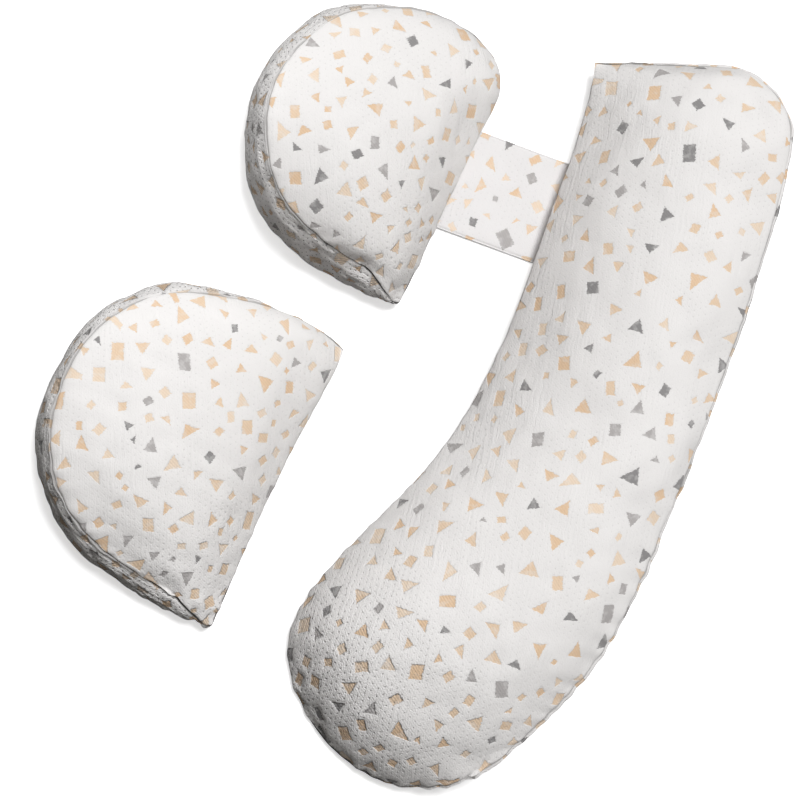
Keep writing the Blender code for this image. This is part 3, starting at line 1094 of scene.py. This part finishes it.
def finished(name, node, points, shell, flats, gap, slack, dip, seed, print_up, scale, material):
    """A sewn piece from its points: its confetti, each motif's dip, its fabric
    coordinates and its material, riding in its node's place. gap is each
    point's distance from a seam, slack how slack the knit lies there, dip how
    deep a motif sinks where it is slack, and scale how large the motifs are."""
    place, form, outside = printed(points, shell, seed + 50, print_up, scale)
    near = bell(np.maximum(at_points(outside, shell, len(points)), 0.0) / DIP_REACH)
    sunk = dip * (TAUT_DIP + (1.0 - TAUT_DIP) * slack) * near * (1.0 - np.exp(-gap / DIP_CLEAR))
    points = points - point_normals(points, shell.quads) * sunk[:, None]
    points[:, 2] = np.maximum(points[:, 2], 0.0)
    mesh = mesh_of(name, points, shell)
    lay_fabric(mesh, shell, flats)
    lay_on_corners(mesh, "motif_place", place)
    lay_on_corners(mesh, "motif_form", form)
    for layer_name, values in (("seam_gap", gap / MM), ("slack", slack)):
        layer = mesh.attributes.new(layer_name, "FLOAT", "POINT")
        layer.data.foreach_set("value", values.astype(np.float32))
    mesh.materials.append(material)
    piece = in_scene(name, mesh)
    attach(piece, "root")
    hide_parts(node)
    return piece


def band_profile(count):
    """Half a profile across the band, from one long edge to the other: the
    height over its mid plane as a flat curve that falls steeply at both edges,
    with a notch between the two layers at mid height and a row of stitches that
    draws the layers together a little way in from the edge."""
    u = np.linspace(-1.0, 1.0, count)
    side = np.sign(u) * (1.0 - (1.0 - np.abs(u)) ** EDGE_DRAW)
    height = np.sqrt(np.maximum(1.0 - np.abs(side) ** EDGE_SQUARE, 0.0))
    side = side * (1.0 - 2.0 * BAND_NOTCH / BAND_WIDE * bell(height / NOTCH_REACH))
    from_hem = (1.0 - np.abs(side)) * BAND_WIDE / 2.0 - BAND_HEM
    height = height * BAND_THICK / 2.0 - BAND_HEM_DEPTH * bell(from_hem / HEM_REACH)
    return side * BAND_WIDE / 2.0, np.maximum(height, 0.0)


def band(material):
    """The joining band: its profile carried along its length, rounded off at
    both ends, with a gentle wave on its upper side. It is two layers of knit
    sewn along the long edges, and its ends lie under the cushions' thin edges."""
    side, height = band_profile(BAND_GRID.across)
    x = (eased(BAND_GRID.along, 1.0, END_DRAW) * 2.0 - 1.0)[:, None]
    swell = np.sqrt(np.maximum(1.0 - np.abs(x) ** END_SQUARE, 0.0))
    upper = np.stack(np.broadcast_arrays(x * BAND_LONG / 2.0, side[None], height[None] * swell), axis=-1)
    lower = upper * (1.0, 1.0, -1.0)
    turn = np.array([[np.cos(BAND_TURN), np.sin(BAND_TURN)], [-np.sin(BAND_TURN), np.cos(BAND_TURN)]])
    grids = []
    for layer in (upper, lower):
        plan = layer[..., :2] @ turn + BAND_MIDDLE - SET_CENTRE
        grids.append(np.concatenate([plan, layer[..., 2:] + BAND_THICK / 2.0], axis=-1) * MM)
    wave = BAND_WAVE * wander(grids[0], BAND_WAVE_LENGTH, BAND_SEED)
    grids[0][..., 2] += wave * np.clip(height[None] * swell / (BAND_THICK / 2.0), 0.0, 1.0)

    rows, columns = upper.shape[:2]
    face = np.arange(rows * columns).reshape(rows, columns)
    back = face.copy()
    inner = np.arange((rows - 2) * (columns - 2)).reshape(rows - 2, columns - 2)
    back[1:-1, 1:-1] = rows * columns + inner
    top, under = around(face), around(back)[:, ::-1]
    shell = Shell(face, face, back, np.concatenate([top, under]), [], np.repeat([FACE, BACK], len(top)))
    points = np.empty((back.max() + 1, 3))
    points[back] = grids[1]
    points[face] = grids[0]
    if point_normals(points, shell.quads)[face[rows // 2, columns // 2], 2] < 0.0:
        shell = shell._replace(quads=shell.quads[:, ::-1])
    run = np.concatenate([[0.0], np.cumsum(np.hypot(np.diff(side), np.diff(height)))]) * MM
    flat = np.stack(np.broadcast_arrays(x * BAND_LONG / 2.0 * MM, run[None]), axis=-1)
    flats = ((FACE, face, flat), (BACK, back, flat + (0.5, 0.0)))
    from_edge = np.minimum(run, run[-1] - run) + 0.0 * x
    gap = np.empty(len(points))
    gap[back] = from_edge
    gap[face] = from_edge
    slack = np.zeros(len(points))
    # The painted seam shade follows the row of stitches, held off a little so that it is fainter.
    hem = np.abs(gap - BAND_HEM * MM) + HEM_SHADE_OFFSET * MM
    print_as = (MM, BAND_SEED, BAND_PRINT_UP, BAND_SCALE)
    piece = finished("band_cover", "joining_band", points, shell, flats, hem, slack, *print_as, material)
    under = ["long_cushion_cover", "joined_wedge_cover"]


# The studio

# Each sun's name, the direction it shines from, its power and its spread in
# degrees.
SUNS = (
    ("key", (0.17, 0.28, 0.94), 2.62, 22.0),
    ("overhead", (0.0, 0.1, 1.0), 0.35, 60.0),
    ("right side", (1.0, 0.1, 0.1), 0.24, 12.0),
)
FLOOR_SIDE = 24.0
FLOOR_HEIGHT = -0.3 * MM

# How far the camera leans from overhead, in degrees, which way, its focal length
# in millimetres, its distance, and the height that it aims at.
CAMERA_TILT = 9.0
CAMERA_LEAN = (-0.8, -0.6)
CAMERA_LENS = 135.0
CAMERA_DISTANCE = 3.0
CAMERA_AIM = 50 * MM


def light(kind, name, place, target, power, **settings):
    """A light that shines from its place on its target: a sun, spread over an
    angle, or a square panel of a size. The camera doesn't see it."""
    lamp = bpy.data.lights.new(name, kind)
    lamp.energy = power
    for setting, value in settings.items():
        setattr(lamp, setting, value)
    holder = in_scene(name, lamp)
    holder.location = place
    holder.rotation_euler = (Vector(place) - Vector(target)).to_track_quat("Z", "Y").to_euler()
    holder.visible_camera = False


def studio():
    """Pale floor, a soft key light from above and a little from the upper right
    of the picture, weak light from overhead, from the right and over the joined
    wedge's outer edge, and the camera almost overhead, to the lower left."""
    half = FLOOR_SIDE / 2.0
    mesh = bpy.data.meshes.new("floor")
    corners = [(-half, -half, 0), (half, -half, 0), (half, half, 0), (-half, half, 0)]
    mesh.from_pydata(corners, [], [(0, 1, 2, 3)])
    floor = in_scene("floor", mesh)
    floor.location.z = FLOOR_HEIGHT
    material = bpy.data.materials.new("matt white studio floor")
    material.use_nodes = True
    white = linear("FFFFFF")
    matt = {"Base Color": white, "Roughness": 0.9, "Specular IOR Level": 0.0}
    glow = {"Emission Color": white, "Emission Strength": 0.55}
    give(material.node_tree.nodes["Principled BSDF"], {**matt, **glow})
    mesh.materials.append(material)
    floor.visible_diffuse = False

    for name, source, power, spread in SUNS:
        light("SUN", name, source, (0.0, 0.0, 0.0), power, angle=np.radians(spread))
    light("AREA", "left edge", (-0.52, 0.54, 0.14), (-0.2, 0.18, 0.04), 0.8, size=0.3)
    world = bpy.data.worlds.new("studio")
    bpy.context.scene.world = world
    world.use_nodes = True
    give(world.node_tree.nodes["Background"], {"Color": linear("FFF6EA"), "Strength": 0.05})

    tilt = np.radians(CAMERA_TILT)
    lean = np.array([*(np.sin(tilt) * np.array(CAMERA_LEAN)), np.cos(tilt)])
    aim = np.array([*(-SET_CENTRE * MM), CAMERA_AIM])
    right = np.cross(-lean, (0.0, 1.0, 0.0))
    right /= np.linalg.norm(right)
    up = np.cross(lean, right)
    lens = bpy.data.cameras.new("camera")
    lens.lens = CAMERA_LENS
    camera = in_scene("camera", lens)
    turn = Matrix(np.stack([right, up, lean], axis=1).tolist()).to_4x4()
    camera.matrix_world = Matrix.Translation(aim + lean * CAMERA_DISTANCE) @ turn
    bpy.context.scene.camera = camera
    bpy.context.scene.view_settings.view_transform = "Standard"


def build():
    knit = knit_material("printed air-layer knit", *GROUND)
    band(knit_material("band of air-layer knit", *BAND_GROUND))
    for row in CUSHIONS:
        cushion(row, knit)
    studio()


build()
